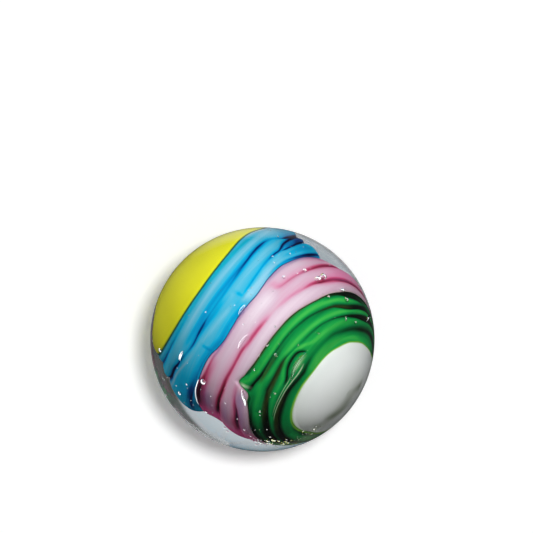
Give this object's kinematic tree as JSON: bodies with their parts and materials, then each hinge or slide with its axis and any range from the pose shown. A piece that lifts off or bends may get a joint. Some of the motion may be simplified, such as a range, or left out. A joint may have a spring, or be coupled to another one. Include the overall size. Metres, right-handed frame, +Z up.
{
  "type": "glass marble",
  "caption": "Clear glass ball with a wound body of blue, pink and green glass threads between a yellow end and a white end sealed inside it.",
  "frame": {"origin": "centre of the ball", "axes": "+Z up as it lies on a table; the wound body's own axis runs level-ish from the yellow end at -X+Y to the white end at +X-Y, white end up"},
  "size_m": [0.025, 0.025, 0.025],
  "materials": {
    "clear_glass": "fire-polished clear soda-lime glass",
    "yellow_glass": "opaque yellow glass, glossy",
    "blue_glass": "pale blue glass thread under a clear blue skin, glossy",
    "pink_glass": "pale pink glass thread under a clear ruby skin, glossy",
    "green_glass": "green glass thread under a dark clear skin, glossy",
    "white_glass": "opaque white glass, glossy"
  },
  "bodies": {
    "root": {"clear_casing": "clear_glass", "yellow_end": "yellow_glass", "blue_threads": "blue_glass", "pink_threads": "pink_glass", "green_threads": "green_glass", "white_end": "white_glass"}
  },
  "joints": []
}
